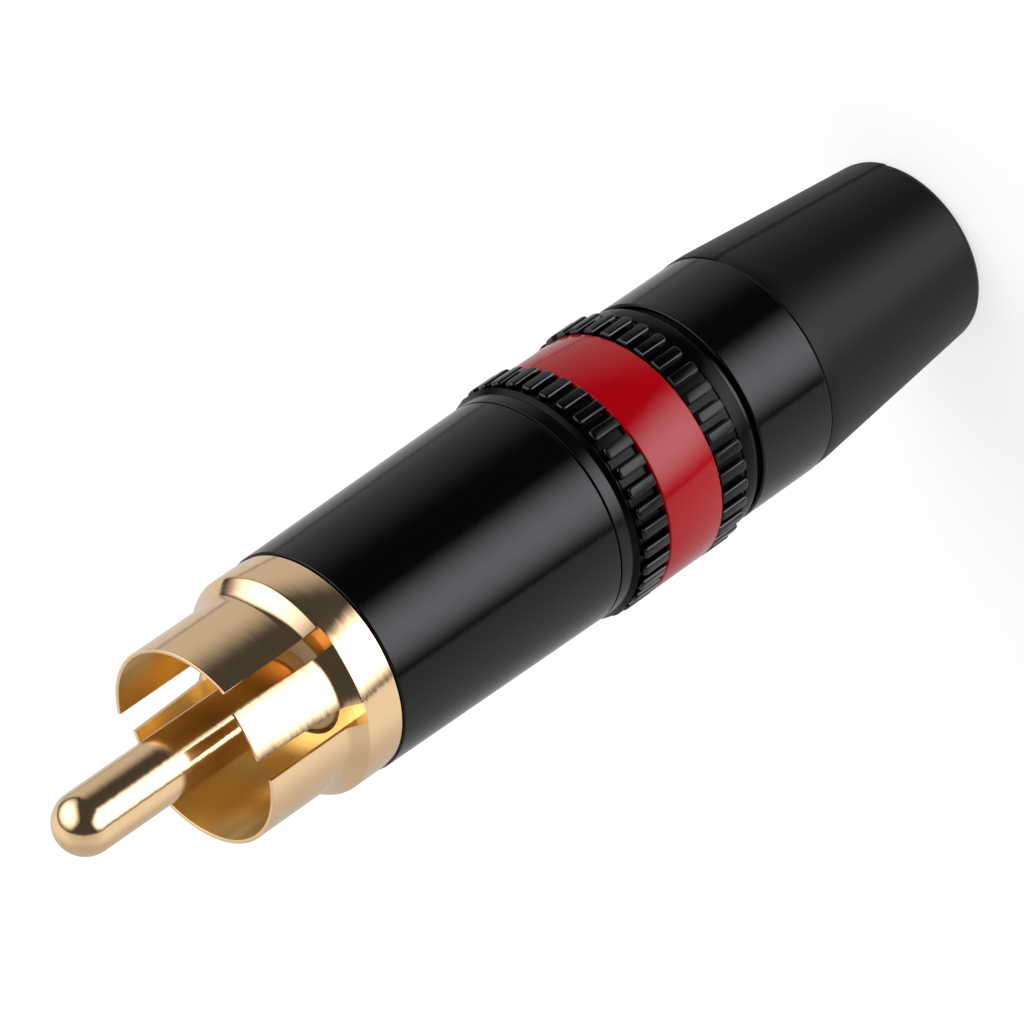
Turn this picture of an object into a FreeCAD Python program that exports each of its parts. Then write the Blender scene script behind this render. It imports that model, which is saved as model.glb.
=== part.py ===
import FreeCAD, Part
import math
import os

# A phono plug with a metal shell, standing on the end of its boot.
# The axis is Z, the boot's end lies on z = 0 and the centre pin points up.
# Sizes are in millimetres and degrees. Angles about the axis start at +X.

# Fits and gaps between pieces
running_fit = 0.05
seat_fit = 0.02
joint_gap = 0.05
end_gap = 0.10
chuck_clearance = 0.08

# Cable entry, from which the walls and steps build up outwards
cable_entry_radius = 3.10

# Boot
boot_length = 12.75
boot_end_wall = 2.00
boot_end_round = 0.90
boot_band_length = 0.85
boot_band_taper = 0.025
boot_proud_of_barrel = 0.015
boot_mould_step = 0.08
boot_parting_angle = -35.0

# Rear barrel
barrel_length = 5.05
barrel_edge_chamfer = 0.12
barrel_lip = 0.30
neck_length = 0.50
neck_step = 0.50
spigot_step = 0.40
rear_thread_length = 5.00
rear_thread_wall = 0.75
thread_relief = 0.20
thread_lead_in = 0.30
tail_length = 6.25
tail_wall = 1.00
barb_count = 3
barb_depth = 0.30
passage_clearance = 0.30
cone_step = 0.80
cone_height = 2.40
cone_angle = 13.0

# Grip ring, from the barrel towards the shell
grip_collar_length = 0.85
grip_collar_height = 0.07
grip_collar_chamfer = 0.12
grip_land_length = 0.15
tooth_length = 1.78
tooth_height = 0.38
tooth_width = 0.66
tooth_corner = 0.22
tooth_shoulder = 0.09
tooth_sunk = 0.10
knurl_count = 36
knurl_angle = 2.0
seat_length = 3.85
seat_wall = 0.40
seat_depth = 0.37
groove_length = 0.47
groove_depth = 0.12
bezel_length = 0.82
bezel_height = 0.26
bezel_chamfer_length = 0.38
bezel_chamfer_height = 0.18

# Colour ring, which lies loose in its seat and has dropped to one side
ring_side_gap = 0.06
ring_play = 0.12
ring_drop = 0.11
ring_thickness = 0.50
ring_edge_chamfer = 0.10

# Cable chuck
chuck_body_length = 8.40
chuck_grip = 0.10
chuck_nose_wall = 0.45
chuck_slot_count = 4
chuck_slot_width = 0.80
chuck_slot_length = 8.00

# Front shell
shell_length = 14.80
shell_proud_of_collar = 0.07
shell_edge_chamfer = 0.10

# Insulating sleeve between the contacts and the shell
liner_clearance = 0.15
liner_wall = 0.40
liner_shoulder = 0.80

# Ground lug
lug_thickness = 0.50
lug_clear_of_chuck = 1.50
lug_arm_angle = 50.0
lug_wing_angle = 200.0
lug_wing_length = 2.50
lug_hole_radius = 0.80
lug_angle = 90.0

# Outer contact
rivet_wall = 0.30
rivet_step = 0.40
boss_length = 1.20
boss_step = 0.40
contact_thread_length = 4.50
contact_thread_step = 0.60
collar_length = 2.20
collar_height = 1.17
collar_edge_chamfer = 0.08
flare_length = 0.80
flare_height = 0.67
flare_ridge_round = 0.25
flare_foot_round = 0.60
sleeve_length = 4.97
sleeve_wall = 0.20
cup_depth = 6.60
slot_width = 1.10
slot_depth = 5.82
slot_angles = (-82.2, -123.8)
tongue_bend = 9.0

# Pin insulator
nose_gap = 0.20
nose_length = 0.90
nose_chamfer = 0.12
insulator_flange_length = 0.60

# Centre pin
pin_radius = 1.60
pin_reach = 15.27
pin_neck_step = 0.30
pin_flange_length = 0.60
pin_flange_step = 0.60
cup_length = 4.00
cup_radius = 1.25
cup_wall = 0.40
cup_bore_depth = 3.20
cup_opening_length = 2.40

# Heights of the joints between pieces, from the boot's end upwards
z_boot_top = boot_length
z_neck = z_boot_top + barrel_length
z_grip = z_neck + neck_length
z_land = z_grip + grip_collar_length
z_rear_teeth = z_land + grip_land_length
z_seat = z_rear_teeth + tooth_length
z_front_teeth = z_seat + seat_length
z_groove = z_front_teeth + tooth_length
z_bezel = z_groove + groove_length
z_grip_top = z_bezel + bezel_length
z_rear_thread_top = z_grip_top + rear_thread_length
z_shell = z_grip_top + joint_gap
z_shell_top = z_shell + shell_length
z_collar = z_shell_top + joint_gap
z_collar_top = z_collar + collar_length
z_sleeve = z_collar_top + flare_length
z_mouth = z_sleeve + sleeve_length
z_cup_floor = z_mouth - cup_depth
z_contact_thread = z_collar - contact_thread_length
z_boss = z_contact_thread - boss_length
z_rivet = z_boss - lug_thickness
z_tail = z_boot_top - tail_length
z_cone = z_boot_top + cone_height
cone_slope = math.tan(math.radians(cone_angle))
z_cone_top = z_cone + cone_step / cone_slope
z_chuck_top = z_cone_top + chuck_body_length

# Radii of the rear end, from the cable outwards
passage_radius = cable_entry_radius + passage_clearance
barrel_bore_radius = passage_radius + cone_step
rear_thread_radius = barrel_bore_radius + rear_thread_wall
spigot_radius = rear_thread_radius + spigot_step
neck_radius = spigot_radius + neck_step
barrel_radius = neck_radius + barrel_lip
tail_radius = passage_radius + tail_wall
boot_end_radius = cable_entry_radius + boot_end_wall
boot_radius = barrel_radius + boot_proud_of_barrel
boot_cone_radius = boot_radius - boot_band_taper
seat_radius = spigot_radius + seat_wall
knurl_root_radius = seat_radius + seat_depth
knurl_crest_radius = knurl_root_radius + tooth_height
grip_collar_radius = knurl_root_radius + grip_collar_height
groove_radius = knurl_root_radius - groove_depth
bezel_radius = knurl_root_radius + bezel_height
bezel_front_radius = bezel_radius - bezel_chamfer_height
ring_bore_radius = seat_radius + ring_play
ring_radius = ring_bore_radius + ring_thickness
chuck_radius = barrel_bore_radius - chuck_clearance
chuck_bore_radius = cable_entry_radius - chuck_grip
chuck_nose_radius = chuck_bore_radius + chuck_nose_wall

# Radii of the front end, from the sleeve round the solder joints outwards and inwards
liner_tail_radius = barrel_bore_radius - running_fit
liner_bore_radius = liner_tail_radius - liner_wall
lug_radius = liner_bore_radius - running_fit
lug_bore_radius = lug_radius - lug_thickness
rivet_radius = lug_radius - rivet_step
contact_bore_radius = rivet_radius - rivet_wall
boss_radius = lug_radius + boss_step
contact_thread_radius = boss_radius + contact_thread_step
collar_radius = contact_thread_radius + collar_height
sleeve_radius = collar_radius - flare_height
sleeve_bore_radius = sleeve_radius - sleeve_wall
shell_bore_radius = contact_thread_radius + running_fit
shell_rear_bore_radius = rear_thread_radius + running_fit
shell_front_radius = collar_radius + shell_proud_of_collar
shell_rear_radius = barrel_radius
liner_radius = shell_bore_radius - liner_clearance
insulator_radius = contact_bore_radius - seat_fit
insulator_flange_radius = lug_bore_radius - running_fit
nose_radius = contact_bore_radius - nose_gap
pin_neck_radius = pin_radius - pin_neck_step
pin_flange_radius = pin_neck_radius + pin_flange_step
cup_bore_radius = cup_radius - cup_wall

origin = FreeCAD.Vector(0, 0, 0)
axis = FreeCAD.Vector(0, 0, 1)
# Cutting tools reach this far past the surface they cut
past = 1.0


def round_corner(before, corner, after, radius):
    """Start, middle and end of the arc that rounds one corner of an outline."""
    to_before = (before - corner).normalize()
    to_after = (after - corner).normalize()
    half_angle = to_before.getAngle(to_after) / 2
    reach = radius / math.tan(half_angle)
    inwards = (to_before + to_after).normalize()
    depth = radius / math.sin(half_angle) - radius
    return corner + to_before * reach, corner + inwards * depth, corner + to_after * reach


def chamfer_corner(before, corner, after, size):
    """Both ends of the flat that breaks one corner of an outline, at equal distances from it."""
    return corner + (before - corner).normalize() * size, corner + (after - corner).normalize() * size


def outline(corners):
    """Closed face in the XZ plane. A corner is (radius, height), with "round" or "chamfer" and a size."""
    points = [FreeCAD.Vector(corner[0], 0, corner[1]) for corner in corners]
    edges = []
    ends = []
    for index, corner in enumerate(corners):
        point = points[index]
        around = points[index - 1], point, points[(index + 1) % len(points)]
        if "round" in corner:
            start, middle, end = round_corner(*around, corner[-1])
            edges.append(Part.Arc(start, middle, end).toShape())
            ends.append((start, end))
        elif "chamfer" in corner:
            start, end = chamfer_corner(*around, corner[-1])
            edges.append(Part.makeLine(start, end))
            ends.append((start, end))
        else:
            ends.append((point, point))
    for index, (start, end) in enumerate(ends):
        following = ends[(index + 1) % len(ends)][0]
        if not end.isEqual(following, 1e-7):
            edges.append(Part.makeLine(end, following))
    return Part.Face(Part.Wire(Part.__sortEdges__(edges)))


def turned(corners, start=0.0, sweep=360.0):
    """A piece turned about the axis, or a part of it between two angles."""
    face = outline(corners)
    face.rotate(origin, axis, start)
    return face.revolve(origin, axis, sweep)


def radial_box(angle, r_inner, r_outer, width, z_bottom, z_top):
    """A block that lies along one radius."""
    corner = FreeCAD.Vector(r_inner, -width / 2, z_bottom)
    block = Part.makeBox(r_outer - r_inner, width, z_top - z_bottom, corner)
    block.rotate(origin, axis, angle)
    return block


def boot_half(start, proud):
    """Half of the boot's skin, as one half of its mould left it."""
    pocket_radius = tail_radius + seat_fit
    return turned([
        (cable_entry_radius, 0),
        (boot_end_radius + proud, 0, "round", boot_end_round),
        (boot_cone_radius + proud, z_boot_top - boot_band_length),
        (boot_radius + proud, z_boot_top),
        (pocket_radius, z_boot_top),
        (pocket_radius, z_tail),
        (cable_entry_radius, z_tail),
    ], start, 180)


def make_boot():
    """The rubber boot, whose two halves meet in a small step along the parting line."""
    proud_half = boot_half(boot_parting_angle, boot_mould_step / 2)
    other_half = boot_half(boot_parting_angle + 180, -boot_mould_step / 2)
    return proud_half.fuse(other_half).removeSplitter()


def make_rear_barrel():
    """The rear barrel: a barbed tail for the boot, the grip's spigot and the rear thread."""
    barb_pitch = tail_length / (barb_count + 1)
    barbs = []
    for index in range(barb_count):
        z_barb = z_tail + barb_pitch * (index + 1)
        barbs.append((tail_radius, z_barb))
        barbs.append((tail_radius - barb_depth, z_barb))
    return turned([
        (passage_radius, z_tail),
        (tail_radius - barb_depth, z_tail),
        *barbs,
        (tail_radius, z_boot_top),
        (barrel_radius, z_boot_top, "chamfer", barrel_edge_chamfer),
        (barrel_radius, z_neck, "chamfer", barrel_edge_chamfer),
        (neck_radius, z_neck),
        (neck_radius, z_grip),
        (spigot_radius, z_grip),
        (spigot_radius, z_grip_top - joint_gap),
        (rear_thread_radius, z_grip_top - joint_gap),
        (rear_thread_radius, z_rear_thread_top - thread_lead_in),
        (rear_thread_radius - thread_lead_in, z_rear_thread_top),
        (barrel_bore_radius, z_rear_thread_top),
        (barrel_bore_radius, z_cone_top),
        (passage_radius, z_cone),
    ])


def knurl_tooth(z_square, z_round):
    """One tooth of the knurl: square at the colour ring, its corners taken off at the other end."""
    half = tooth_width / 2
    outwards = math.copysign(1, z_round - z_square)
    foot = knurl_root_radius - tooth_sunk
    z_corner = z_round - outwards * tooth_corner
    rim = [(-half, z_square), (half, z_square), (half, z_corner), (half - tooth_corner, z_round),
           (tooth_corner - half, z_round), (-half, z_corner), (-half, z_square)]
    pad = Part.Face(Part.makePolygon([FreeCAD.Vector(foot, y, z) for y, z in rim]))
    pad = pad.extrude(FreeCAD.Vector(tooth_sunk + tooth_height + past, 0, 0))
    below = FreeCAD.Vector(0, 0, min(z_square, z_round) - past)
    tooth = pad.common(Part.makeCylinder(knurl_crest_radius, tooth_length + 2 * past, below))
    shoulders = [edge for edge in tooth.Edges if is_tooth_shoulder(edge, half)]
    return tooth.makeChamfer(tooth_shoulder, shoulders)


def is_tooth_shoulder(edge, half):
    """True for the two long edges at a tooth's crest."""
    lies_on_flank = all(abs(abs(vertex.Y) - half) < 1e-6 for vertex in edge.Vertexes)
    radii = [math.hypot(vertex.X, vertex.Y) for vertex in edge.Vertexes]
    lies_on_crest = all(abs(radius - knurl_crest_radius) < 1e-6 for radius in radii)
    return lies_on_flank and lies_on_crest and abs(edge.tangentAt(edge.FirstParameter).z) > 0.5


def make_grip_ring():
    """The knurled grip ring with its bezel, two rows of teeth and the colour ring's seat."""
    bore_radius = spigot_radius + seat_fit
    ring = turned([
        (bore_radius, z_grip),
        (grip_collar_radius, z_grip, "chamfer", grip_collar_chamfer),
        (grip_collar_radius, z_land),
        (knurl_root_radius, z_land),
        (knurl_root_radius, z_seat),
        (seat_radius, z_seat),
        (seat_radius, z_front_teeth),
        (knurl_root_radius, z_front_teeth),
        (knurl_root_radius, z_groove),
        (groove_radius, z_groove),
        (groove_radius, z_bezel),
        (bezel_radius, z_bezel),
        (bezel_radius, z_grip_top - bezel_chamfer_length),
        (bezel_front_radius, z_grip_top),
        (bore_radius, z_grip_top),
    ])
    teeth = []
    for z_square, z_round in ((z_seat, z_rear_teeth), (z_front_teeth, z_groove)):
        first = knurl_tooth(z_square, z_round)
        for index in range(knurl_count):
            tooth = first.copy()
            tooth.rotate(origin, axis, knurl_angle + index * 360 / knurl_count)
            teeth.append(tooth)
    return ring.fuse(teeth)


def make_colour_ring():
    """The plain ring that tells the channel by its colour."""
    ring = turned([
        (ring_bore_radius, z_seat + ring_side_gap),
        (ring_radius, z_seat + ring_side_gap, "chamfer", ring_edge_chamfer),
        (ring_radius, z_front_teeth - ring_side_gap, "chamfer", ring_edge_chamfer),
        (ring_bore_radius, z_front_teeth - ring_side_gap),
    ])
    ring.translate(FreeCAD.Vector(-ring_drop, 0, 0))
    return ring


def make_cable_chuck():
    """The slotted chuck whose cone closes on the cable as the barrel is screwed up."""
    z_nose = z_cone_top - (chuck_radius - chuck_nose_radius) / cone_slope
    chuck = turned([
        (chuck_bore_radius, z_nose),
        (chuck_nose_radius, z_nose),
        (chuck_radius, z_cone_top),
        (chuck_radius, z_chuck_top),
        (chuck_bore_radius, z_chuck_top),
    ])
    for index in range(chuck_slot_count):
        angle = index * 360 / chuck_slot_count
        slot = radial_box(angle, chuck_bore_radius - past, chuck_radius + past, chuck_slot_width,
                          z_nose - past, z_nose + chuck_slot_length)
        chuck = chuck.cut(slot)
    return chuck


def make_front_shell():
    """The tapered front shell, with the contact's thread in front and the barrel's behind."""
    z_relief = z_rear_thread_top + thread_relief
    return turned([
        (shell_rear_bore_radius, z_shell),
        (shell_rear_radius, z_shell, "chamfer", shell_edge_chamfer),
        (shell_front_radius, z_shell_top, "chamfer", shell_edge_chamfer),
        (shell_bore_radius, z_shell_top),
        (shell_bore_radius, z_relief),
        (shell_rear_bore_radius, z_relief),
    ])


def make_insulating_sleeve():
    """The stepped sleeve that keeps the solder joints off the shell and holds the chuck down."""
    z_bottom = z_chuck_top + end_gap
    z_top = z_contact_thread - end_gap
    z_step = z_rear_thread_top + liner_clearance
    z_wide = z_rivet - liner_shoulder
    return turned([
        (liner_bore_radius, z_bottom),
        (liner_tail_radius, z_bottom),
        (liner_tail_radius, z_step),
        (liner_radius, z_step),
        (liner_radius, z_top),
        (boss_radius + running_fit, z_top),
        (boss_radius + running_fit, z_wide),
        (liner_bore_radius, z_wide),
    ])


def bend_tongue(contact, angle, width):
    """Bends the sleeve's tongue at one angle inwards about the outer edge of its root."""
    around = radial_box(angle, sleeve_bore_radius - past, sleeve_radius + past, width,
                        z_sleeve, z_mouth + past)
    tongue = contact.common(around)
    turn = math.radians(angle)
    root = FreeCAD.Vector(sleeve_radius * math.cos(turn), sleeve_radius * math.sin(turn), z_sleeve)
    tangent = FreeCAD.Vector(-math.sin(turn), math.cos(turn), 0)
    tongue.rotate(root, tangent, -tongue_bend)
    return contact.cut(around).fuse(tongue)


def make_outer_contact():
    """The outer contact: sleeve, flare and collar in front, thread, boss and rivet rim behind."""
    contact = turned([
        (contact_bore_radius, z_rivet),
        (rivet_radius, z_rivet),
        (rivet_radius, z_boss),
        (boss_radius, z_boss),
        (boss_radius, z_contact_thread),
        (contact_thread_radius, z_contact_thread),
        (contact_thread_radius, z_collar),
        (collar_radius, z_collar, "chamfer", collar_edge_chamfer),
        (collar_radius, z_collar_top, "round", flare_ridge_round),
        (sleeve_radius, z_sleeve, "round", flare_foot_round),
        (sleeve_radius, z_mouth),
        (sleeve_bore_radius, z_mouth),
        (sleeve_bore_radius, z_cup_floor),
        (contact_bore_radius, z_cup_floor),
    ])
    for angle in slot_angles:
        contact = contact.cut(radial_box(angle, -collar_radius - past, collar_radius + past, slot_width,
                                         z_mouth - slot_depth, z_mouth + past))
    between = abs(slot_angles[0] - slot_angles[1])
    width = 2 * sleeve_radius * math.sin(math.radians(between / 2))
    middle = sum(slot_angles) / 2
    for angle in (middle, middle + 180):
        contact = bend_tongue(contact, angle, width)
    return contact


def make_pin_insulator():
    """The insulator that holds the centre pin in the outer contact."""
    z_back = z_rivet - joint_gap - insulator_flange_length
    return turned([
        (pin_neck_radius + seat_fit, z_back),
        (insulator_flange_radius, z_back),
        (insulator_flange_radius, z_rivet - joint_gap),
        (insulator_radius, z_rivet - joint_gap),
        (insulator_radius, z_cup_floor - nose_length),
        (nose_radius, z_cup_floor - nose_length),
        (nose_radius, z_cup_floor, "chamfer", nose_chamfer),
        (pin_neck_radius + seat_fit, z_cup_floor),
    ])


def make_centre_pin():
    """The centre pin, with a ball nose in front and an open solder cup behind."""
    z_tip = z_cup_floor + pin_reach
    z_flange_top = z_rivet - joint_gap - insulator_flange_length - joint_gap
    z_flange = z_flange_top - pin_flange_length
    z_cup = z_flange - cup_length
    pin = turned([
        (0, z_cup + cup_bore_depth),
        (cup_bore_radius, z_cup + cup_bore_depth),
        (cup_bore_radius, z_cup),
        (cup_radius, z_cup),
        (cup_radius, z_flange),
        (pin_flange_radius, z_flange),
        (pin_flange_radius, z_flange_top),
        (pin_neck_radius, z_flange_top),
        (pin_neck_radius, z_cup_floor),
        (pin_radius, z_cup_floor),
        (pin_radius, z_tip - pin_radius),
        (0, z_tip - pin_radius),
    ])
    nose = Part.makeSphere(pin_radius, FreeCAD.Vector(0, 0, z_tip - pin_radius))
    opening = radial_box(lug_angle + 180, 0, cup_radius + past, 2 * (cup_radius + past),
                         z_cup - past, z_cup + cup_opening_length)
    return pin.fuse(nose).removeSplitter().cut(opening)


def make_ground_lug():
    """The stamped ground lug: a ring under the boss, an arm and two wings for the braid."""
    z_end = z_chuck_top + lug_clear_of_chuck
    ring = turned([
        (rivet_radius + seat_fit, z_rivet),
        (boss_radius - running_fit, z_rivet),
        (boss_radius - running_fit, z_boss),
        (rivet_radius + seat_fit, z_boss),
    ])

    def strip(sweep, z_bottom, z_top):
        return turned([
            (lug_bore_radius, z_bottom),
            (lug_radius, z_bottom),
            (lug_radius, z_top),
            (lug_bore_radius, z_top),
        ], lug_angle - sweep / 2, sweep)

    arm = strip(lug_arm_angle, z_end, z_rivet + lug_thickness)
    arm = arm.cut(turned([
        (0, z_rivet),
        (rivet_radius + seat_fit, z_rivet),
        (rivet_radius + seat_fit, z_boss + past),
        (0, z_boss + past),
    ]))
    wings = strip(lug_wing_angle, z_end, z_end + lug_wing_length)
    z_hole = (z_end + lug_wing_length + z_rivet) / 2
    hole = Part.makeCylinder(lug_hole_radius, lug_radius + past, FreeCAD.Vector(0, 0, z_hole),
                             FreeCAD.Vector(1, 0, 0))
    hole.rotate(origin, axis, lug_angle)
    return ring.fuse([arm, wings]).removeSplitter().cut(hole)


pieces = {
    "boot": make_boot,
    "rear_barrel": make_rear_barrel,
    "grip_ring": make_grip_ring,
    "colour_ring": make_colour_ring,
    "cable_chuck": make_cable_chuck,
    "front_shell": make_front_shell,
    "insulating_sleeve": make_insulating_sleeve,
    "outer_contact": make_outer_contact,
    "pin_insulator": make_pin_insulator,
    "centre_pin": make_centre_pin,
    "ground_lug": make_ground_lug,
}

os.makedirs("parts", exist_ok=True)
for name, make in pieces.items():
    piece = make()
    piece.exportStep("parts/" + name + ".step")
    print(name, "solids", len(piece.Solids), "valid", piece.isValid(), "volume %.2f" % piece.Volume)
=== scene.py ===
import math

import bmesh
import bpy
from mathutils import Matrix, Vector


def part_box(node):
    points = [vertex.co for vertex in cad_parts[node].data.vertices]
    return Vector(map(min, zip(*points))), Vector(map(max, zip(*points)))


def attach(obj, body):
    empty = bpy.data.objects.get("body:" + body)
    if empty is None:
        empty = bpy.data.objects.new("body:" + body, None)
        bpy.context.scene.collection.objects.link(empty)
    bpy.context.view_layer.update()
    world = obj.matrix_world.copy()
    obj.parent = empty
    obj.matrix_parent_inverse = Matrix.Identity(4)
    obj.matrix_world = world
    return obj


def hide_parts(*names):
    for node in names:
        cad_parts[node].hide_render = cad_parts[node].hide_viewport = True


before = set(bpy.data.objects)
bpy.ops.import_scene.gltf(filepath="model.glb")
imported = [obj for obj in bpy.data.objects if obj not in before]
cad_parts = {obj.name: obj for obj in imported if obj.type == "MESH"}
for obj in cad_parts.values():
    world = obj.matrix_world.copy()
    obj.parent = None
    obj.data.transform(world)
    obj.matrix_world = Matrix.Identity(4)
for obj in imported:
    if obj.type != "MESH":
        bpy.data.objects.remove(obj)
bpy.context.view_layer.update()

# A phono plug with a metal shell, dressed around its solids.
# It stands on the end of its boot, its axis is Z, and the photograph shows its -Y side.
# Lengths are in metres, so a value in millimetres is written times mm.
mm = 0.001

# Segments round a turned piece, round a turn of a thread and over a broken edge
turn_steps = 288
pin_steps = 120
thread_steps = 72
edge_steps = 4

# Faces that meet at less than this angle are shaded as one, and points closer than this are merged
smooth_below = math.radians(32)
weld = 1e-7

# Fits that the solids have too
running_fit = 0.05 * mm
seat_fit = 0.02 * mm

# Boot
boot_end_radius = 5.06 * mm
boot_end_round = 0.50 * mm
boot_lean = 0.10 * mm
boot_band_length = 0.85 * mm
boot_band_proud = 0.015 * mm
boot_band_taper = 0.025 * mm
boot_mould_step = 0.06 * mm
boot_parting_angle = -35.0
boot_bore_radius = 3.10 * mm
boot_pocket_radius = 4.42 * mm
boot_mouth_edge = 0.12 * mm

# Rear barrel
barrel_edge = 0.13 * mm
neck_length = 0.50 * mm
neck_radius = 5.85 * mm
spigot_radius = 5.35 * mm
rear_thread_radius = 4.95 * mm
barrel_bore_radius = 4.20 * mm
passage_radius = 3.40 * mm
cone_bottom = 2.40 * mm
cone_angle = 13.0
tail_radius = 4.40 * mm
barb_count = 3
barb_depth = 0.30 * mm

# Threads
thread_pitch = 0.75 * mm
thread_depth = 0.40 * mm
thread_crest = 0.10 * mm
thread_relief = 0.20 * mm

# Grip ring
grip_collar_length = 0.85 * mm
grip_collar_radius = 6.19 * mm
grip_collar_edge = 0.12 * mm
grip_land_length = 0.15 * mm
tooth_length = 1.78 * mm
tooth_width = 0.66 * mm
tooth_corner = 0.22 * mm
tooth_shoulder = 0.14 * mm
tooth_sunk = 0.08 * mm
knurl_count = 36
knurl_angle = 2.0
knurl_root_radius = 6.12 * mm
knurl_crest_radius = 6.50 * mm
seat_radius = 5.75 * mm
seat_length = 3.85 * mm
groove_radius = 6.05 * mm
groove_length = 0.29 * mm
bezel_radius = 6.38 * mm
bezel_band_length = 0.72 * mm
fine_edge = 0.04 * mm

# Colour ring
ring_drop = 0.11 * mm
ring_edge = 0.10 * mm
ring_bore_radius = 5.87 * mm

# Front shell
shell_front_radius = 5.94 * mm
shell_edge = 0.10 * mm
shell_bore_radius = 4.75 * mm

# Outer contact
rivet_radius = 3.30 * mm
boss_radius = 4.10 * mm
lug_thickness = 0.50 * mm
boss_length = 1.20 * mm
contact_thread_length = 4.50 * mm
contact_thread_radius = 4.70 * mm
collar_length = 2.20 * mm
collar_edge = 0.08 * mm
flare_length = 0.80 * mm
flare_ridge = 0.09 * mm
flare_foot = 0.22 * mm
sleeve_radius = 5.20 * mm
sleeve_wall = 0.20 * mm
sleeve_rim = 0.03 * mm
cup_depth = 6.60 * mm
contact_bore_radius = 3.00 * mm
slot_width = 1.10 * mm
slot_depth = 5.82 * mm
slot_angles = (-82.2, -123.8)
tongue_bend = 9.0
tongue_bend_length = 0.50 * mm
tongue_bend_steps = 6

# Pin insulator and centre pin
nose_radius = 2.80 * mm
nose_length = 0.90 * mm
nose_edge = 0.12 * mm
pin_radius = 1.60 * mm
pin_neck_radius = 1.30 * mm
pin_flange_length = 0.60 * mm
pin_flange_radius = 1.90 * mm
cup_length = 4.00 * mm
cup_radius = 1.25 * mm
cup_bore_radius = 0.85 * mm
cup_bore_depth = 3.20 * mm
cup_opening_length = 2.40 * mm


def ends(node):
    """Lowest and highest point and largest radius of a node."""
    low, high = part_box(node)
    return low.z, high.z, high.y


def turn_round(mesh, angle):
    """Turns a mesh about the plug's axis."""
    bmesh.ops.rotate(mesh, verts=mesh.verts, cent=(0, 0, 0),
                     matrix=Matrix.Rotation(math.radians(angle), 3, "Z"))


def turned(corners, start=0.0, steps=turn_steps):
    """A shell turned about the axis. A corner is (radius, height), with the reach of its round added."""
    mesh = bmesh.new()
    points = [mesh.verts.new((corner[0], 0, corner[1])) for corner in corners]
    for index, point in enumerate(points):
        mesh.edges.new((points[index - 1], point))
    for point, corner in zip(points, corners):
        if len(corner) > 2:
            bmesh.ops.bevel(mesh, geom=[point], offset=corner[2], offset_type="OFFSET",
                            segments=edge_steps, profile=0.5, affect="VERTICES", material=-1)
    turn_round(mesh, start)
    bmesh.ops.spin(mesh, geom=mesh.verts[:] + mesh.edges[:], cent=(0, 0, 0), axis=(0, 0, 1),
                   angle=math.tau, steps=steps, use_merge=True)
    bmesh.ops.remove_doubles(mesh, verts=mesh.verts, dist=weld)
    bmesh.ops.recalc_face_normals(mesh, faces=mesh.faces)
    return mesh


def block(width, depth, height, middle, angle=0.0):
    """A box with its middle at a point, turned about the plug's axis."""
    mesh = bmesh.new()
    bmesh.ops.create_cube(mesh, size=1)
    bmesh.ops.scale(mesh, verts=mesh.verts, vec=(width, depth, height))
    bmesh.ops.translate(mesh, verts=mesh.verts, vec=middle)
    turn_round(mesh, angle)
    return mesh


def as_object(mesh, name):
    """A new object that holds a mesh."""
    data = bpy.data.meshes.new(name)
    mesh.to_mesh(data)
    mesh.free()
    made = bpy.data.objects.new(name, data)
    bpy.context.scene.collection.objects.link(made)
    return made


def cut(mesh, tools):
    """Takes closed tools out of a closed shell."""
    work = as_object(mesh, "work")
    helpers = [as_object(tool, "tool") for tool in tools]
    for helper in helpers:
        modifier = work.modifiers.new("Cut", "BOOLEAN")
        modifier.operation = "DIFFERENCE"
        modifier.solver = "EXACT"
        modifier.object = helper
    result = bmesh.new()
    result.from_mesh(work.evaluated_get(bpy.context.evaluated_depsgraph_get()).to_mesh())
    for used in [work, *helpers]:
        bpy.data.objects.remove(used)
    bmesh.ops.remove_doubles(result, verts=result.verts, dist=weld)
    return result


def add_mesh(mesh, other):
    """Adds a second shell to a mesh."""
    data = bpy.data.meshes.new("part")
    other.to_mesh(data)
    other.free()
    mesh.from_mesh(data)
    bpy.data.meshes.remove(data)


def thread(radius, bottom, top):
    """A right-handed thread: one ridge that climbs round its core, flat at both ends."""
    mesh = bmesh.new()
    core = radius - thread_depth
    half_root = 0.42 * thread_pitch
    corners = [(core, -half_root), (radius, -thread_crest / 2), (radius, thread_crest / 2), (core, half_root)]
    points = [mesh.verts.new((corner[0], 0, bottom + half_root + corner[1])) for corner in corners]
    section = mesh.faces.new(points)
    turns = (top - bottom - 2 * half_root) / thread_pitch
    steps = round(turns * thread_steps)
    bmesh.ops.spin(mesh, geom=[section], cent=(0, 0, 0), axis=(0, 0, 1), angle=math.tau * turns,
                   steps=steps, dvec=(0, 0, turns * thread_pitch / steps), use_merge=False)
    bmesh.ops.recalc_face_normals(mesh, faces=mesh.faces)
    return mesh


def hex_colour(code):
    """Linear colour of an sRGB hex code."""
    channels = [int(code[index:index + 2], 16) / 255 for index in (1, 3, 5)]
    return [c / 12.92 if c <= 0.04045 else ((c + 0.055) / 1.055) ** 2.4 for c in channels] + [1.0]


def add(tree, kind, inputs=None, **settings):
    """Adds a node. An input is a constant, or a pair of a node and the name of its output."""
    node = tree.nodes.new(kind)
    for name, value in settings.items():
        setattr(node, name, value)
    for name, value in (inputs or {}).items():
        if isinstance(value, tuple) and isinstance(value[0], bpy.types.Node):
            tree.links.new(value[0].outputs[value[1]], node.inputs[name])
        else:
            node.inputs[name].default_value = value
    return node


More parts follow.
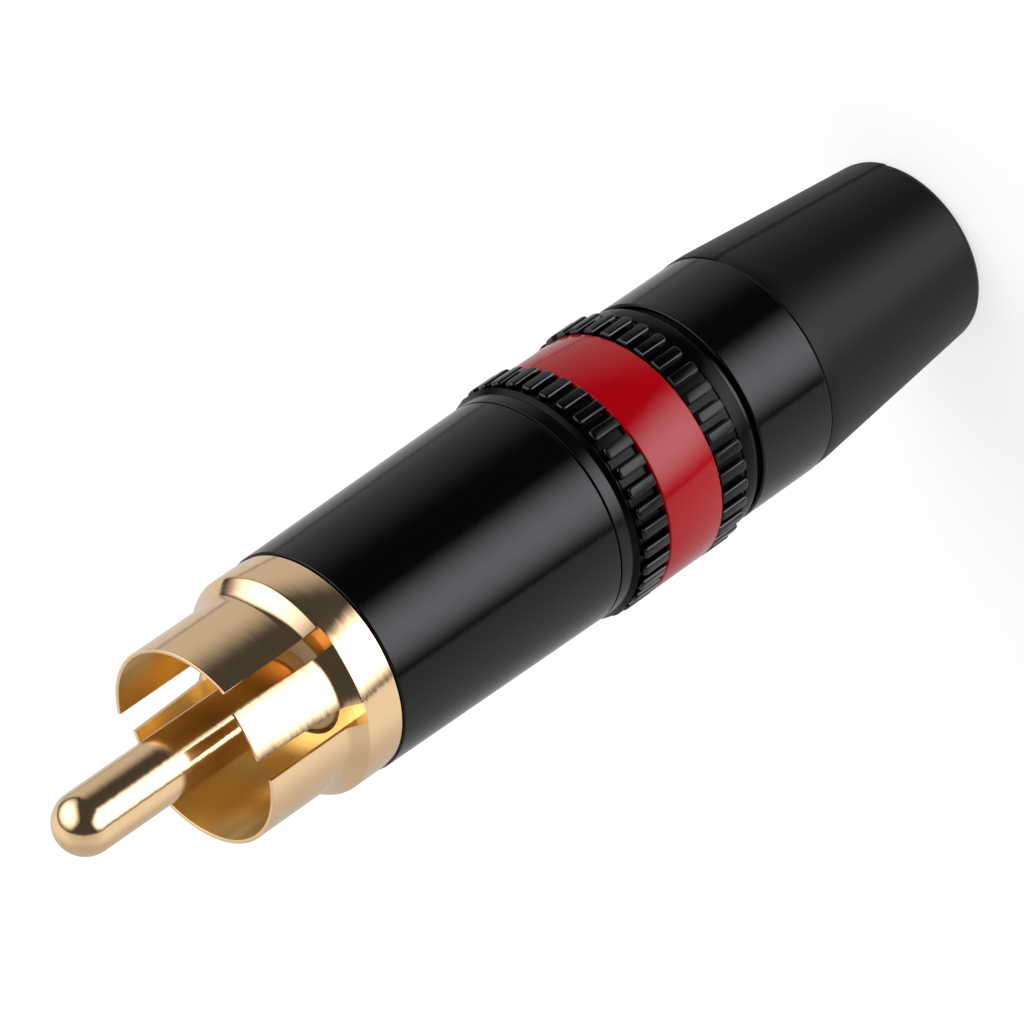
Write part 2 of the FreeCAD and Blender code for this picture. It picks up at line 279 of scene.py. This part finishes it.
def new_material(name):
    """An empty material, and its node tree with an output."""
    material = bpy.data.materials.new(name)
    material.use_nodes = True
    tree = material.node_tree
    tree.nodes.clear()
    return material, tree, add(tree, "ShaderNodeOutputMaterial")


def gold_plate():
    """Hard gold plate on turned brass: bright outside, and duller where a tool bored the sleeve, with a
    brighter, yellower gold painted there for the light that bounces round inside the cup.
    """
    material, tree, output = new_material("Hard gold plate on turned brass")
    ring_spacing, ring_depth = 0.07 * mm, 0.0007 * mm
    # Long cells round the piece keep the marks in rings
    cells_round = 150
    wave_round, wave_along = 1.2 * mm, 0.20 * mm
    wave = 0.03
    place = add(tree, "ShaderNodeTexCoord")
    surface = add(tree, "ShaderNodeNewGeometry")
    # A bored face looks at the axis, also when the contact is screwed round
    local = add(tree, "ShaderNodeVectorTransform", {"Vector": (surface, "Normal")},
                vector_type="NORMAL", convert_from="WORLD", convert_to="OBJECT")
    out = add(tree, "ShaderNodeVectorMath", {0: (place, "Object"), 1: (1, 1, 0)}, operation="MULTIPLY")
    unit = add(tree, "ShaderNodeVectorMath", {0: (out, "Vector")}, operation="NORMALIZE")
    facing = add(tree, "ShaderNodeVectorMath", {0: (unit, "Vector"), 1: (local, "Vector")},
                 operation="DOT_PRODUCT")
    bored_and_bounce_light = add(tree, "ShaderNodeMapRange", {"Value": (facing, "Value"), "From Min": -0.3, "From Max": -0.6})
    # Painted light: faces that look at the axis get a brighter, yellower gold, standing in for light bouncing
    # round inside the cup; only their duller roughness is the bored finish
    colour = add(tree, "ShaderNodeMix", {
        0: (bored_and_bounce_light, "Result"), 6: hex_colour("#f6d2a4"), 7: hex_colour("#f8e09a")}, data_type="RGBA")
    # The tool chattered, so a reflection's edge wavers round the piece
    waves = add(tree, "ShaderNodeMapping", {
        "Vector": (place, "Object"), "Scale": (1 / wave_round, 1 / wave_round, 1 / wave_along)})
    chatter = add(tree, "ShaderNodeTexNoise", {"Vector": (waves, "Vector"), "Scale": 1.0, "Detail": 2.0})
    amount = add(tree, "ShaderNodeMapRange", {"Value": (chatter, "Fac"), "To Min": -wave, "To Max": wave})
    across = add(tree, "ShaderNodeVectorMath", {0: (0, 0, 1), 1: (surface, "Normal")},
                 operation="CROSS_PRODUCT")
    sideways = add(tree, "ShaderNodeVectorMath", {0: (across, "Vector"), "Scale": (amount, "Result")},
                   operation="SCALE")
    leaning = add(tree, "ShaderNodeVectorMath", {0: (surface, "Normal"), 1: (sideways, "Vector")},
                  operation="ADD")
    # Fine rings that the tool left
    rings = add(tree, "ShaderNodeMapping", {
        "Vector": (place, "Object"), "Scale": (cells_round, cells_round, 1 / ring_spacing)})
    marks = add(tree, "ShaderNodeTexNoise", {"Vector": (rings, "Vector"), "Scale": 1.0, "Detail": 3.0})
    bump = add(tree, "ShaderNodeBump", {
        "Height": (marks, "Fac"), "Strength": 1.0, "Distance": ring_depth, "Normal": (leaning, "Vector")})
    worn = add(tree, "ShaderNodeMapRange", {"Value": (marks, "Fac"), "From Min": 0.3, "From Max": 0.7,
                                            "To Min": 0.10, "To Max": 0.17})
    dull = add(tree, "ShaderNodeMix", {0: (bored_and_bounce_light, "Result"), 2: (worn, "Result"), 3: 0.30}, data_type="FLOAT")
    shader = add(tree, "ShaderNodeBsdfPrincipled", {
        "Base Color": (colour, 2), "Metallic": 1.0, "Roughness": (dull, 0), "Normal": (bump, "Normal")})
    tree.links.new(shader.outputs["BSDF"], output.inputs["Surface"])
    return material


def black_lacquer():
    """Gloss black stoving lacquer: deep, with a slight orange peel that breaks up the edge of a highlight."""
    material, tree, output = new_material("Gloss black stoving lacquer")
    peel_size, peel_depth = 0.16 * mm, 0.0022 * mm
    place = add(tree, "ShaderNodeTexCoord")
    peel = add(tree, "ShaderNodeTexNoise", {
        "Vector": (place, "Object"), "Scale": 1 / peel_size, "Detail": 2.0})
    bump = add(tree, "ShaderNodeBump", {"Height": (peel, "Fac"), "Strength": 1.0, "Distance": peel_depth})
    shader = add(tree, "ShaderNodeBsdfPrincipled", {
        "Base Color": hex_colour("#020202"), "Roughness": 0.13, "IOR": 1.33, "Normal": (bump, "Normal")})
    tree.links.new(shader.outputs["BSDF"], output.inputs["Surface"])
    return material


def satin_black():
    """Satin black finish on die-cast zinc: a thin coat over fine blasted grain, polished on the teeth."""
    material, tree, output = new_material("Satin black coat on die-cast zinc")
    grain_size, grain_depth = 0.06 * mm, 0.003 * mm
    # On a tooth's crest the polish is weak, and from the second of these depths down it is full
    polish_top, polish_bottom = 0.010 * mm, 0.035 * mm
    crest_polish = 0.35
    band_polish = 0.45
    place = add(tree, "ShaderNodeTexCoord")
    # Fingers have polished the edges of the teeth, which stand between the collar and the bezel
    bezel_bottom = (ends("grip_ring")[0] + grip_collar_length + grip_land_length + 2 * tooth_length
                    + seat_length + groove_length)
    apart = add(tree, "ShaderNodeSeparateXYZ", {"Vector": (place, "Object")})
    flat = add(tree, "ShaderNodeVectorMath", {0: (place, "Object"), 1: (1, 1, 0)}, operation="MULTIPLY")
    out = add(tree, "ShaderNodeVectorMath", {0: (flat, "Vector")}, operation="LENGTH")
    proud = add(tree, "ShaderNodeMapRange", {
        "Value": (out, "Value"), "From Min": grip_collar_radius + fine_edge, "From Max": bezel_radius})
    edges = add(tree, "ShaderNodeMapRange", {
        "Value": (out, "Value"), "From Min": knurl_crest_radius - polish_bottom,
        "From Max": knurl_crest_radius - polish_top, "To Min": 1.0, "To Max": crest_polish})
    behind = add(tree, "ShaderNodeMath", {0: (apart, "Z"), 1: bezel_bottom}, operation="LESS_THAN")
    teeth = add(tree, "ShaderNodeMath", {0: (proud, "Result"), 1: (behind, "Value")}, operation="MULTIPLY")
    polished = add(tree, "ShaderNodeMath", {0: (teeth, "Value"), 1: (edges, "Result")}, operation="MULTIPLY")
    # The band beside the shell has the shell's gloss
    band = add(tree, "ShaderNodeMath", {0: (apart, "Z"), 1: ends("grip_ring")[1] - bezel_band_length},
               operation="GREATER_THAN")
    glossy = add(tree, "ShaderNodeMath", {0: (band, "Value"), 1: band_polish}, operation="MULTIPLY")
    coated = add(tree, "ShaderNodeMath", {0: (polished, "Value"), 1: (glossy, "Value")}, operation="MAXIMUM")
    grain = add(tree, "ShaderNodeTexNoise", {
        "Vector": (place, "Object"), "Scale": 1 / grain_size, "Detail": 2.0})
    bump = add(tree, "ShaderNodeBump", {"Height": (grain, "Fac"), "Strength": 1.0, "Distance": grain_depth})
    shader = add(tree, "ShaderNodeBsdfPrincipled", {
        "Base Color": hex_colour("#020202"), "Roughness": 0.20, "IOR": 1.20, "Normal": (bump, "Normal"),
        "Coat Weight": (coated, "Value"), "Coat Roughness": 0.18, "Coat IOR": 1.42})
    tree.links.new(shader.outputs["BSDF"], output.inputs["Surface"])
    return material


def red_plastic():
    """Red ABS, moulded with a gloss: full colour under a clear highlight."""
    material, tree, output = new_material("Red ABS with a gloss")
    ripple_size, ripple_depth = 0.9 * mm, 0.006 * mm
    place = add(tree, "ShaderNodeTexCoord")
    ripple = add(tree, "ShaderNodeTexNoise", {
        "Vector": (place, "Object"), "Scale": 1 / ripple_size, "Detail": 1.0})
    bump = add(tree, "ShaderNodeBump", {"Height": (ripple, "Fac"), "Strength": 1.0, "Distance": ripple_depth})
    tint = add(tree, "ShaderNodeMix", {
        0: (ripple, "Fac"), 6: hex_colour("#a2000a"), 7: hex_colour("#aa0210")}, data_type="RGBA")
    shader = add(tree, "ShaderNodeBsdfPrincipled", {
        "Base Color": (tint, 2), "Roughness": 0.12, "IOR": 1.36, "Normal": (bump, "Normal")})
    tree.links.new(shader.outputs["BSDF"], output.inputs["Surface"])
    return material


def boot_rubber():
    """Black thermoplastic rubber: matte from the spark-eroded mould, with a soft grey sheen."""
    material, tree, output = new_material("Black thermoplastic rubber")
    grain_size, grain_depth = 0.11 * mm, 0.006 * mm
    place = add(tree, "ShaderNodeTexCoord")
    grain = add(tree, "ShaderNodeTexNoise", {
        "Vector": (place, "Object"), "Scale": 1 / grain_size, "Detail": 3.0})
    bump = add(tree, "ShaderNodeBump", {"Height": (grain, "Fac"), "Strength": 1.0, "Distance": grain_depth})
    shader = add(tree, "ShaderNodeBsdfPrincipled", {
        "Base Color": hex_colour("#020202"), "Roughness": 0.42, "IOR": 1.28, "Normal": (bump, "Normal")})
    tree.links.new(shader.outputs["BSDF"], output.inputs["Surface"])
    return material


def moulded(name, colour, roughness, subsurface):
    """A pale moulded plastic that lets a little light in, with the soft ripple of its mould."""
    material, tree, output = new_material(name)
    ripple_size, ripple_depth = 0.5 * mm, 0.01 * mm
    light_reach = 0.6 * mm
    place = add(tree, "ShaderNodeTexCoord")
    ripple = add(tree, "ShaderNodeTexNoise", {
        "Vector": (place, "Object"), "Scale": 1 / ripple_size, "Detail": 2.0})
    bump = add(tree, "ShaderNodeBump", {"Height": (ripple, "Fac"), "Strength": 1.0, "Distance": ripple_depth})
    shader = add(tree, "ShaderNodeBsdfPrincipled", {
        "Base Color": hex_colour(colour), "Roughness": roughness, "Normal": (bump, "Normal"),
        "Subsurface Weight": subsurface, "Subsurface Scale": light_reach})
    tree.links.new(shader.outputs["BSDF"], output.inputs["Surface"])
    return material


gold = gold_plate()
lacquer = black_lacquer()
satin = satin_black()
red = red_plastic()
rubber = boot_rubber()
acetal = moulded("Cream acetal", "#e2cfb2", 0.35, 0.15)
nylon = moulded("Natural nylon", "#d9d8d0", 0.45, 0.25)
polypropylene = moulded("White polypropylene", "#dededb", 0.40, 0.25)


def finish_piece(mesh, name, node, body, material):
    """Makes a shell into a piece that stands for a node."""
    piece = as_object(mesh, name)
    for polygon in piece.data.polygons:
        polygon.use_smooth = True
    piece.data.set_sharp_from_angle(angle=smooth_below)
    weighted = piece.modifiers.new("Face weights", "WEIGHTED_NORMAL")
    weighted.keep_sharp = True
    piece.data.materials.append(material)
    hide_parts(node)
    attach(piece, body)


def make_boot():
    """The boot, which leans a little. One half of its mould stands proud of the other at the parting line."""
    bottom, top, _ = ends("boot")
    barrel_radius = ends("rear_barrel")[2]
    radius = barrel_radius + boot_band_proud
    tail_bottom = ends("rear_barrel")[0]
    # This many degrees past the parting line still belong to the lower half
    margin = 0.5
    mesh = turned([
        (boot_bore_radius, bottom, boot_mouth_edge),
        (boot_end_radius, bottom, boot_end_round),
        (radius - boot_band_taper, top - boot_band_length),
        (radius, top, fine_edge),
        (boot_pocket_radius, top),
        (boot_pocket_radius, tail_bottom),
        (boot_bore_radius, tail_bottom),
    ], start=boot_parting_angle)
    face_width = boot_end_radius - boot_end_round - boot_bore_radius
    for vertex in mesh.verts:
        around = math.degrees(math.atan2(vertex.co.y, vertex.co.x)) - boot_parting_angle
        outwards = Vector((vertex.co.x, vertex.co.y, 0))
        if outwards.length > boot_pocket_radius + weld or vertex.co.z < bottom + weld:
            share = min(1, max(0, (outwards.length - boot_bore_radius) / face_width))
            side = 1 if margin < around % 360 < 180 - margin else -1
            vertex.co += outwards.normalized() * (side * share * boot_mould_step / 2)
            vertex.co.x += boot_lean * (top - vertex.co.z) / (top - bottom)
    finish_piece(mesh, "rubber_boot", "boot", "rear_bushing", rubber)


def make_rear_barrel():
    """The rear barrel, with its barbed tail inside the boot and its thread inside the shell."""
    tail_bottom, thread_top, radius = ends("rear_barrel")
    barrel_bottom = ends("boot")[1]
    grip_bottom, grip_top, _ = ends("grip_ring")
    spigot_top = grip_top - running_fit
    cone = barrel_bottom + cone_bottom
    cone_top = cone + (barrel_bore_radius - passage_radius) / math.tan(math.radians(cone_angle))
    barb_pitch = (barrel_bottom - tail_bottom) / (barb_count + 1)
    barbs = []
    for index in range(barb_count):
        height = tail_bottom + barb_pitch * (index + 1)
        barbs += [(tail_radius, height), (tail_radius - barb_depth, height)]
    core = rear_thread_radius - thread_depth
    mesh = turned([
        (passage_radius, tail_bottom),
        (tail_radius - barb_depth, tail_bottom),
        *barbs,
        (tail_radius, barrel_bottom),
        (radius, barrel_bottom, barrel_edge),
        (radius, grip_bottom - neck_length, barrel_edge),
        (neck_radius, grip_bottom - neck_length),
        (neck_radius, grip_bottom),
        (spigot_radius, grip_bottom),
        (spigot_radius, spigot_top, fine_edge),
        (core, spigot_top),
        (core, thread_top, fine_edge),
        (barrel_bore_radius, thread_top, fine_edge),
        (barrel_bore_radius, cone_top),
        (passage_radius, cone),
    ])
    add_mesh(mesh, thread(rear_thread_radius, spigot_top + running_fit, thread_top - running_fit))
    finish_piece(mesh, "lacquered_barrel", "rear_barrel", "rear_bushing", lacquer)


def knurl_tooth(square, rounded):
    """One tooth of the knurl, its crest along X: square at the colour ring, rounded at the far end."""
    mesh = bmesh.new()
    half = tooth_width / 2
    foot = knurl_root_radius - tooth_sunk
    rim = [(-half, square), (half, square), (half, rounded), (-half, rounded)]
    points = [mesh.verts.new((foot, y, z)) for y, z in rim]
    mesh.faces.new(points)
    bmesh.ops.bevel(mesh, geom=points[2:], offset=tooth_corner, offset_type="OFFSET",
                    segments=edge_steps, profile=0.5, affect="VERTICES", material=-1)
    base = mesh.faces[:]
    raised = bmesh.ops.extrude_face_region(mesh, geom=base)
    lifted = [part for part in raised["geom"] if isinstance(part, bmesh.types.BMVert)]
    bmesh.ops.translate(mesh, verts=lifted, vec=(knurl_crest_radius - foot, 0, 0))
    bmesh.ops.recalc_face_normals(mesh, faces=mesh.faces)
    top = [edge for edge in mesh.edges if all(vertex in lifted for vertex in edge.verts)]
    bmesh.ops.bevel(mesh, geom=top, offset=tooth_shoulder, offset_type="OFFSET",
                    segments=edge_steps, profile=0.5, affect="EDGES", material=-1)
    for vertex in mesh.verts:
        vertex.co.x -= knurl_crest_radius - math.sqrt(knurl_crest_radius ** 2 - vertex.co.y ** 2)
    return mesh


def make_grip_ring():
    """The grip ring: a collar, two rows of teeth, the colour ring's seat between them, and the bezel.

    The bezel slopes down to a band that lies flush with the front shell.
    """
    bottom, top, _ = ends("grip_ring")
    band = top - bezel_band_length
    band_radius = ends("front_shell")[2]
    land = bottom + grip_collar_length
    rear_teeth = land + grip_land_length
    seat = rear_teeth + tooth_length
    front_teeth = seat + seat_length
    groove = front_teeth + tooth_length
    bezel = groove + groove_length
    bore = spigot_radius + seat_fit
    mesh = turned([
        (bore, bottom),
        (grip_collar_radius, bottom, grip_collar_edge),
        (grip_collar_radius, land, fine_edge),
        (knurl_root_radius, land),
        (knurl_root_radius, seat, fine_edge),
        (seat_radius, seat),
        (seat_radius, front_teeth),
        (knurl_root_radius, front_teeth, fine_edge),
        (knurl_root_radius, groove, fine_edge),
        (groove_radius, groove),
        (groove_radius, bezel),
        (bezel_radius, bezel, fine_edge),
        (band_radius, band, fine_edge),
        (band_radius, top, fine_edge),
        (bore, top),
    ])
    for square, rounded in ((seat, rear_teeth), (front_teeth, groove)):
        for index in range(knurl_count):
            tooth = knurl_tooth(square, rounded)
            turn_round(tooth, knurl_angle + index * 360 / knurl_count)
            add_mesh(mesh, tooth)
    finish_piece(mesh, "knurled_grip", "grip_ring", "rear_bushing", satin)


def make_colour_ring():
    """The colour ring, which has dropped to one side of its seat."""
    bottom, top, radius = ends("colour_ring")
    mesh = turned([
        (ring_bore_radius, bottom),
        (radius, bottom, ring_edge),
        (radius, top, ring_edge),
        (ring_bore_radius, top),
    ])
    bmesh.ops.translate(mesh, verts=mesh.verts, vec=(-ring_drop, 0, 0))
    finish_piece(mesh, "red_ring", "colour_ring", "rear_bushing", red)


def make_front_shell():
    """The front shell, which tapers towards the contact's collar."""
    bottom, top, radius = ends("front_shell")
    relief = ends("rear_barrel")[1] + thread_relief
    rear_bore = rear_thread_radius + running_fit
    mesh = turned([
        (rear_bore, bottom, fine_edge),
        (radius, bottom, shell_edge),
        (shell_front_radius, top, shell_edge),
        (shell_bore_radius, top, fine_edge),
        (shell_bore_radius, relief),
        (rear_bore, relief),
    ])
    finish_piece(mesh, "lacquered_shell", "front_shell", "shell", lacquer)


def bend_tongue(mesh, middle, spread, root_height):
    """Bends the tongue round one angle inwards, in a short even curve above its root."""
    towards = Vector((math.cos(math.radians(middle)), math.sin(math.radians(middle)), 0))
    across = Vector((-towards.y, towards.x, 0))
    # A little wider than the tongue, so that the points on its cut edges count too
    margin = 0.1 * mm
    half_chord = sleeve_radius * math.sin(math.radians(spread / 2)) - slot_width / 2 + margin
    tongue = [vertex for vertex in mesh.verts if vertex.co.z > root_height + weld
              and vertex.co.dot(towards) > 0 and abs(vertex.co.dot(across)) < half_chord]
    for vertex in tongue:
        climb = vertex.co.z - root_height
        out = vertex.co.dot(towards) - sleeve_radius
        full = math.radians(tongue_bend)
        turn = full * min(1, climb / tongue_bend_length)
        # The neutral line runs along an arc, then straight on
        arc = min(climb, tongue_bend_length)
        arc_radius = tongue_bend_length / full
        inwards = arc_radius * (1 - math.cos(arc / arc_radius))
        up = arc_radius * math.sin(arc / arc_radius)
        beyond = climb - arc
        inwards += beyond * math.sin(full)
        up += beyond * math.cos(full)
        moved_out = sleeve_radius - inwards + out * math.cos(turn)
        moved_up = root_height + up + out * math.sin(turn)
        vertex.co += towards * (moved_out - sleeve_radius - out)
        vertex.co.z = moved_up


def make_outer_contact():
    """The outer contact: a turned sleeve whose saw cuts free two tongues, its flare, collar and thread."""
    rivet, mouth, collar_radius = ends("outer_contact")
    boss = rivet + lug_thickness
    thread_bottom = boss + boss_length
    collar = thread_bottom + contact_thread_length
    collar_top = collar + collar_length
    root = collar_top + flare_length
    cup_floor = mouth - cup_depth
    core = contact_thread_radius - thread_depth
    bend_heights = [root + tongue_bend_length * (index + 1) / tongue_bend_steps
                    for index in range(tongue_bend_steps)]
    mesh = turned([
        (contact_bore_radius, rivet),
        (rivet_radius, rivet),
        (rivet_radius, boss),
        (boss_radius, boss),
        (boss_radius, thread_bottom),
        (core, thread_bottom),
        (core, collar),
        (collar_radius, collar, collar_edge),
        (collar_radius, collar_top, flare_ridge),
        (sleeve_radius, root, flare_foot),
        *[(sleeve_radius, height) for height in bend_heights if height > root + flare_foot],
        (sleeve_radius, mouth, sleeve_rim),
        (sleeve_radius - sleeve_wall, mouth, sleeve_rim),
        *[(sleeve_radius - sleeve_wall, height) for height in reversed(bend_heights)],
        (sleeve_radius - sleeve_wall, root),
        (sleeve_radius - sleeve_wall, cup_floor),
        (contact_bore_radius, cup_floor, fine_edge),
    ])
    slot_floor = mouth - slot_depth
    overshoot = 1 * mm
    reach = mouth + overshoot - slot_floor
    tools = [block(4 * sleeve_radius, slot_width, reach, (0, 0, slot_floor + reach / 2), angle)
             for angle in slot_angles]
    mesh = cut(mesh, tools)
    spread = abs(slot_angles[0] - slot_angles[1])
    middle = sum(slot_angles) / 2
    for angle in (middle, middle + 180):
        bend_tongue(mesh, angle, spread, root)
    add_mesh(mesh, thread(contact_thread_radius, thread_bottom + running_fit, collar - running_fit))
    finish_piece(mesh, "gold_contact", "outer_contact", "contact", gold)


def make_pin_insulator():
    """The insulator round the pin, whose nose shows at the bottom of the sleeve."""
    back, front, flange_radius = ends("pin_insulator")
    rivet = ends("outer_contact")[0]
    mesh = turned([
        (pin_neck_radius + seat_fit, back),
        (flange_radius, back),
        (flange_radius, rivet - running_fit),
        (contact_bore_radius - seat_fit, rivet - running_fit),
        (contact_bore_radius - seat_fit, front - nose_length),
        (nose_radius, front - nose_length),
        (nose_radius, front, nose_edge),
        (pin_neck_radius + seat_fit, front),
    ])
    finish_piece(mesh, "cream_insulator", "pin_insulator", "contact", acetal)


def make_centre_pin():
    """The centre pin: a ball nose in front, and behind a solder cup with its side cut away."""
    cup, tip, _ = ends("centre_pin")
    flange = cup + cup_length
    shoulder = ends("outer_contact")[1] - cup_depth
    arc_steps = 24
    ball = [(pin_radius * math.cos(math.tau / 4 * index / arc_steps),
             tip - pin_radius + pin_radius * math.sin(math.tau / 4 * index / arc_steps))
            for index in range(arc_steps)]
    mesh = turned([
        (0, cup + cup_bore_depth),
        (cup_bore_radius, cup + cup_bore_depth),
        (cup_bore_radius, cup),
        (cup_radius, cup, fine_edge),
        (cup_radius, flange),
        (pin_flange_radius, flange, fine_edge),
        (pin_flange_radius, flange + pin_flange_length, fine_edge),
        (pin_neck_radius, flange + pin_flange_length),
        (pin_neck_radius, shoulder),
        (pin_radius, shoulder, fine_edge),
        *ball,
        (0, tip),
    ], steps=pin_steps)
    bmesh.ops.delete(mesh, geom=[edge for edge in mesh.edges if edge.is_wire], context="EDGES")
    opening = block(4 * cup_radius, 2 * cup_radius, 2 * cup_opening_length, (0, -cup_radius, cup))
    mesh = cut(mesh, [opening])
    finish_piece(mesh, "gold_pin", "centre_pin", "contact", gold)


make_boot()
make_rear_barrel()
make_grip_ring()
make_colour_ring()
make_front_shell()
make_outer_contact()
make_pin_insulator()
make_centre_pin()

# The pieces that stay inside the plug keep their solids
for node, material in (("cable_chuck", nylon), ("insulating_sleeve", polypropylene), ("ground_lug", gold)):
    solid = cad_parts[node]
    solid.data.materials.clear()
    solid.data.materials.append(material)


def make_floor():
    """The white floor. The camera sees it, with the plug's soft shadow, and the lamps shine past it."""
    mesh = bmesh.new()
    half_width = 3
    bmesh.ops.create_grid(mesh, x_segments=1, y_segments=1, size=half_width)
    floor = as_object(mesh, "floor")
    floor.visible_glossy = False
    floor.visible_diffuse = False
    floor.visible_transmission = False
    floor.visible_shadow = False
    material, tree, output = new_material("White paper")
    own_light = 0.72
    path = add(tree, "ShaderNodeLightPath")
    paper = add(tree, "ShaderNodeBsdfDiffuse", {"Color": hex_colour("#acacac")})
    glow = add(tree, "ShaderNodeEmission", {"Color": (1, 1, 1, 1), "Strength": own_light})
    both = add(tree, "ShaderNodeAddShader", {0: (paper, "BSDF"), 1: (glow, "Emission")})
    seen = add(tree, "ShaderNodeMixShader", {
        0: (path, "Is Camera Ray"), 1: (paper, "BSDF"), 2: (both, "Shader")})
    tree.links.new(seen.outputs["Shader"], output.inputs["Surface"])
    floor.data.materials.append(material)


plug_middle = Vector((0, 0, 33 * mm))
# The photograph shows the plug lying on a white table, and this is the way up from that table
studio_up = Vector((0.6259, -0.7799, 0))
studio_front = Vector((-0.5327, -0.4278, 0.7302))
studio_right = studio_up.cross(studio_front)


def direction(azimuth, elevation):
    """Unit vector out from the plug, in the studio. Azimuth 0 is the camera's side, 90 its right."""
    azimuth, elevation = math.radians(azimuth), math.radians(elevation)
    level = studio_front * math.cos(azimuth) + studio_right * math.sin(azimuth)
    return level * math.cos(elevation) + studio_up * math.sin(elevation)


def softbox(name, azimuth, elevation, wide, tall, radiance):
    """A lamp behind a cloth, brightest in its middle. It fills so many degrees, seen from the plug."""
    distance = 0.6
    mesh = bmesh.new()
    bmesh.ops.create_grid(mesh, x_segments=1, y_segments=1, size=1)
    card = as_object(mesh, name)
    out = direction(azimuth, elevation)
    across = studio_up.cross(out).normalized()
    turn = Matrix((across, out.cross(across), out)).transposed().to_4x4()
    size = Matrix.Diagonal((distance * math.tan(math.radians(wide / 2)),
                            distance * math.tan(math.radians(tall / 2)), 1, 1))
    card.matrix_world = Matrix.Translation(plug_middle + out * distance) @ turn @ size
    card.visible_camera = False
    card.visible_shadow = False
    material, tree, output = new_material("Cloth of " + name)
    place = add(tree, "ShaderNodeTexCoord")
    apart = add(tree, "ShaderNodeSeparateXYZ", {"Vector": (place, "Object")})
    falls = []
    for way in ("X", "Y"):
        square = add(tree, "ShaderNodeMath", {0: (apart, way), 1: (apart, way)}, operation="MULTIPLY")
        rest = add(tree, "ShaderNodeMath", {0: 1.0, 1: (square, "Value")}, operation="SUBTRACT")
        falls.append(add(tree, "ShaderNodeMath", {0: (rest, "Value"), 1: (rest, "Value")},
                         operation="MULTIPLY"))
    both = add(tree, "ShaderNodeMath", {0: (falls[0], "Value"), 1: (falls[1], "Value")}, operation="MULTIPLY")
    level = add(tree, "ShaderNodeMath", {0: (both, "Value"), 1: radiance}, operation="MULTIPLY")
    glow = add(tree, "ShaderNodeEmission", {"Color": hex_colour("#f8f7ff"), "Strength": (level, "Value")})
    tree.links.new(glow.outputs["Emission"], output.inputs["Surface"])
    card.data.materials.append(material)


def smooth_range(tree, value, start, end, low, high):
    """Takes a value from one range to another, with a soft start and a soft end."""
    return add(tree, "ShaderNodeMapRange", {
        "Value": (value, "Value"), "From Min": start, "From Max": end, "To Min": low, "To Max": high},
        interpolation_type="SMOOTHSTEP")


def make_world():
    """The studio round the plug: a white table below, a dark room above, and a pale backdrop behind."""
    room, table, backdrop = 0.06, 0.92, 0.60
    # What is left of the table's light under the plug, and on the camera's side and the far one
    under_light, front_light = 0.62, 0.72
    world = bpy.data.worlds.new("Studio")
    world.use_nodes = True
    tree = world.node_tree
    tree.nodes.clear()
    output = add(tree, "ShaderNodeOutputWorld")
    place = add(tree, "ShaderNodeTexCoord")
    height = add(tree, "ShaderNodeVectorMath", {0: (place, "Generated"), 1: studio_up},
                 operation="DOT_PRODUCT")
    front = add(tree, "ShaderNodeVectorMath", {0: (place, "Generated"), 1: studio_front},
                operation="DOT_PRODUCT")
    # The table is in the plug's own shadow close under it, and the lamps beside it light it best to the sides
    flat = smooth_range(tree, height, -0.10, 0.02, table, 0)
    under = smooth_range(tree, height, -0.90, -0.45, under_light, 1)
    middle = add(tree, "ShaderNodeMath", {0: (front, "Value")}, operation="ABSOLUTE")
    sides = smooth_range(tree, middle, 0.30, 1.0, 1, front_light)
    above = smooth_range(tree, height, -0.05, 0.05, 0, 1)
    wall = smooth_range(tree, front, -0.52, -0.88, room, backdrop)
    shaded = add(tree, "ShaderNodeMath", {0: (flat, "Result"), 1: (under, "Result")}, operation="MULTIPLY")
    ground = add(tree, "ShaderNodeMath", {0: (shaded, "Value"), 1: (sides, "Result")}, operation="MULTIPLY")
    sky = add(tree, "ShaderNodeMath", {0: (wall, "Result"), 1: (above, "Result")}, operation="MULTIPLY")
    both = add(tree, "ShaderNodeMath", {0: (ground, "Value"), 1: (sky, "Value")}, operation="ADD")
    background = add(tree, "ShaderNodeBackground", {"Color": (both, "Value"), "Strength": 1.0})
    tree.links.new(background.outputs["Background"], output.inputs["Surface"])
    bpy.context.scene.world = world


def make_camera():
    """The camera at the photograph's viewing angle, rolled so that the plug lies across the picture."""
    target = Vector((0.55, -6.55, 33.1)) * mm
    distance = 350 * mm
    elevation = math.radians(33.77)
    roll = math.radians(124.73)
    focal_pixels = 7420
    image_pixels = 1024
    data = bpy.data.cameras.new("Camera")
    data.sensor_width = 36
    data.lens = data.sensor_width * focal_pixels / image_pixels
    data.clip_start = 0.01
    camera = bpy.data.objects.new("Camera", data)
    bpy.context.scene.collection.objects.link(camera)
    camera.matrix_world = (Matrix.Translation(target)
                           @ Matrix.Rotation(math.tau / 4 - elevation, 4, "X")
                           @ Matrix.Rotation(-roll, 4, "Z")
                           @ Matrix.Translation((0, 0, distance)))
    bpy.context.scene.camera = camera


make_floor()
make_world()
softbox("left softbox", -86, 35, 108, 80, 3.0)
softbox("right softbox", 80, 28, 96, 64, 5.4)
make_camera()

bpy.context.scene.view_settings.view_transform = "Standard"
